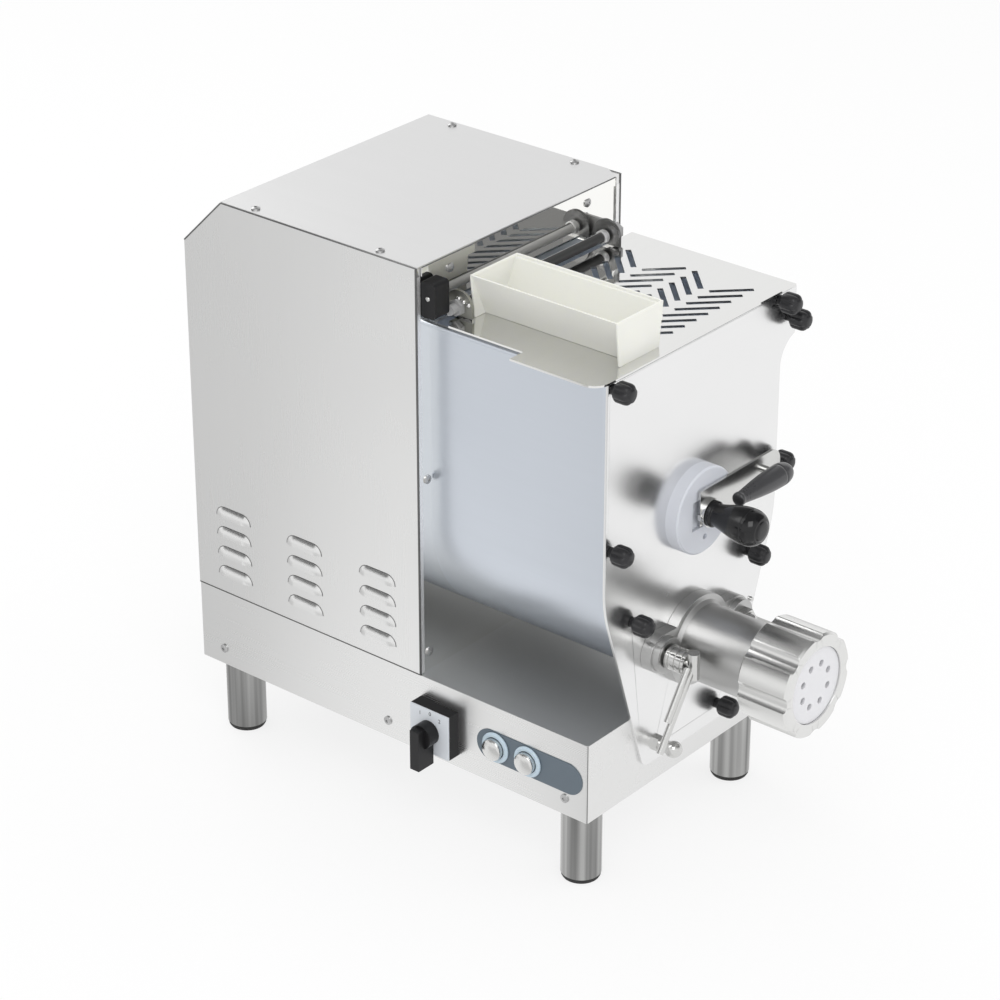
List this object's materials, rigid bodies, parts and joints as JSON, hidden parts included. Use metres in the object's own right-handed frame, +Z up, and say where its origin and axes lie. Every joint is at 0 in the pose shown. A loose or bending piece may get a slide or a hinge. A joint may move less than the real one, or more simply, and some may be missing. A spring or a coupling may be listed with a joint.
{
  "type": "electric pasta maker",
  "caption": "Counter-top electric pasta maker: a U-shaped kneading trough with paddles over an auger that presses dough through a die, with its drive in a steel casing behind.",
  "frame": {"origin": "on the floor, under the middle of the whole machine's bounding box", "axes": "+Z up; -Y towards the die, the front; +X to the right of somebody facing the back, so the switch and buttons are on the -X side"},
  "size_m": [0.341, 0.664, 0.5958],
  "materials": {
    "sheet": "satin",
    "inner_sheet": "satin",
    "leg_steel": "polished",
    "rubber": "matte",
    "mirror_sheet": "polished",
    "bright_steel": "polished",
    "black_plastic": "gloss",
    "grey_plastic": "matte",
    "motor_paint": "painted",
    "dark_paint": "satin",
    "shaft_steel": "machined",
    "cast_iron": "machined",
    "gear_steel": "machined",
    "cast_alloy": "cast",
    "white_plastic": "satin",
    "satin_sheet": "satin",
    "chrome": "polished",
    "dark_plastic": "gloss",
    "cast_steel": "cast and polished",
    "lid_sheet": "brushed",
    "dark_steel": "blackened",
    "label": "matte",
    "clear_blue": "gloss"
  },
  "bodies": {
    "machine": {"base_shell": "sheet", "base_floor": "inner_sheet", "legs": "leg_steel", "foot_pads": "rubber", "left_panel": "sheet", "right_panel": "sheet", "rear_panel": "sheet", "top_cover": "sheet", "inner_wall": "mirror_sheet", "panel_screws": "bright_steel", "cable_gland": "black_plastic", "control_unit": "grey_plastic", "motor": "motor_paint", "motor_fan_cover": "dark_paint", "drive_belt": "rubber", "gear_case": "cast_alloy", "shaft_bearings": "white_plastic", "trough": "satin_sheet", "front_plate": "mirror_sheet", "plate_studs": "bright_steel", "cap_nut": "chrome", "bearing_disc": "white_plastic", "barrel": "cast_steel", "barrel_fixings": "bright_steel", "die": "white_plastic", "lid_hinge": "dark_steel", "safety_switch": "black_plastic", "switch_body": "black_plastic", "switch_plate": "white_plastic", "control_label": "label"},
    "rotor": {"motor_rotor": "shaft_steel", "motor_pulley": "cast_iron"},
    "countershaft": {"counter_shaft": "shaft_steel", "driven_pulley": "cast_iron", "counter_pinion": "gear_steel"},
    "mixer": {"mixer_shaft": "shaft_steel", "mixer_paddles": "shaft_steel", "mixer_gear": "gear_steel"},
    "auger": {"auger_shaft": "shaft_steel", "auger_flight": "shaft_steel", "auger_gear": "gear_steel"},
    "lever": {"lever_arm": "bright_steel", "axis_handle": "black_plastic", "side_handle": "dark_plastic"},
    "nut": {"ring_nut": "cast_steel"},
    "clamp": {"clamp_head": "bright_steel", "clamp_lever": "bright_steel"},
    "cover": {"lid": "lid_sheet", "hopper": "white_plastic"},
    "selector": {"switch_knob": "black_plastic"},
    "start": {"start_button": "clear_blue"},
    "stop": {"stop_button": "clear_blue"},
    "knob_top_left": {"knob_top_left": "black_plastic"},
    "knob_top_right": {"knob_top_right": "black_plastic"},
    "knob_ear": {"knob_ear": "black_plastic"},
    "knob_mid_left": {"knob_mid_left": "black_plastic"},
    "knob_mid_right": {"knob_mid_right": "black_plastic"},
    "knob_low_left": {"knob_low_left": "black_plastic"},
    "knob_low_right": {"knob_low_right": "black_plastic"},
    "knob_foot_right": {"knob_foot_right": "black_plastic"}
  },
  "joints": [
    {"name": "mixer_spin", "type": "hinge", "parent": "machine", "child": "mixer", "pos_m": [0.0165, -0.082, 0.36], "axis": [0, 1, 0], "continuous": true},
    {"name": "auger_spin", "type": "hinge", "parent": "machine", "child": "auger", "pos_m": [0.0165, -0.082, 0.222], "axis": [0, 1, 0], "continuous": true},
    {"name": "counter_spin", "type": "hinge", "parent": "machine", "child": "countershaft", "pos_m": [0.0165, 0.168, 0.48], "axis": [0, 1, 0], "continuous": true},
    {"name": "motor_spin", "type": "hinge", "parent": "machine", "child": "rotor", "pos_m": [0.0165, 0.168, 0.248], "axis": [0, 1, 0], "continuous": true},
    {"name": "nut_spin", "type": "hinge", "parent": "machine", "child": "nut", "pos_m": [0.0165, -0.302, 0.222], "axis": [0, 1, 0], "continuous": true},
    {"name": "lid_hinge", "type": "hinge", "parent": "machine", "child": "cover", "pos_m": [0.0165, 0.006, 0.5464], "axis": [-1, 0, 0], "range_deg": [0, 45]},
    {"name": "lever_turn", "type": "hinge", "parent": "machine", "child": "lever", "pos_m": [0.0165, -0.207, 0.36], "axis": [0, -1, 0], "range_deg": [0, 90]},
    {"name": "clamp_turn", "type": "hinge", "parent": "machine", "child": "clamp", "pos_m": [-0.0405, -0.222, 0.232], "axis": [0, 1, 0], "range_deg": [-55, 100]},
    {"name": "selector_turn", "type": "hinge", "parent": "machine", "child": "selector", "pos_m": [-0.1535, 0, 0.1205], "axis": [-1, 0, 0], "range_deg": [-45, 45]},
    {"name": "start_push", "type": "slide", "parent": "machine", "child": "start", "axis": [1, 0, 0], "range_m": [0, 0.004], "stiffness_N_per_m": 400, "springref_m": -0.002},
    {"name": "stop_push", "type": "slide", "parent": "machine", "child": "stop", "axis": [1, 0, 0], "range_m": [0, 0.004], "stiffness_N_per_m": 400, "springref_m": -0.002},
    {"name": "knob_top_left_spin", "type": "hinge", "parent": "machine", "child": "knob_top_left", "pos_m": [-0.1095, -0.197, 0.5265], "axis": [0, -1, 0], "continuous": true},
    {"name": "knob_top_right_spin", "type": "hinge", "parent": "machine", "child": "knob_top_right", "pos_m": [0.1425, -0.197, 0.5265], "axis": [0, -1, 0], "continuous": true},
    {"name": "knob_ear_spin", "type": "hinge", "parent": "machine", "child": "knob_ear", "pos_m": [0.1595, -0.197, 0.5045], "axis": [0, -1, 0], "continuous": true},
    {"name": "knob_mid_left_spin", "type": "hinge", "parent": "machine", "child": "knob_mid_left", "pos_m": [-0.1085, -0.197, 0.363], "axis": [0, -1, 0], "continuous": true},
    {"name": "knob_mid_right_spin", "type": "hinge", "parent": "machine", "child": "knob_mid_right", "pos_m": [0.1415, -0.197, 0.363], "axis": [0, -1, 0], "continuous": true},
    {"name": "knob_low_left_spin", "type": "hinge", "parent": "machine", "child": "knob_low_left", "pos_m": [-0.0745, -0.197, 0.276], "axis": [0, -1, 0], "continuous": true},
    {"name": "knob_low_right_spin", "type": "hinge", "parent": "machine", "child": "knob_low_right", "pos_m": [0.1075, -0.197, 0.276], "axis": [0, -1, 0], "continuous": true},
    {"name": "knob_foot_right_spin", "type": "hinge", "parent": "machine", "child": "knob_foot_right", "pos_m": [0.0645, -0.197, 0.126], "axis": [0, -1, 0], "continuous": true}
  ],
  "couplings": [
    {"joint": "auger_spin", "follows": "mixer_spin", "ratio": -2.5385},
    {"joint": "counter_spin", "follows": "mixer_spin", "ratio": -4.7143},
    {"joint": "motor_spin", "follows": "mixer_spin", "ratio": -16.5}
  ]
}
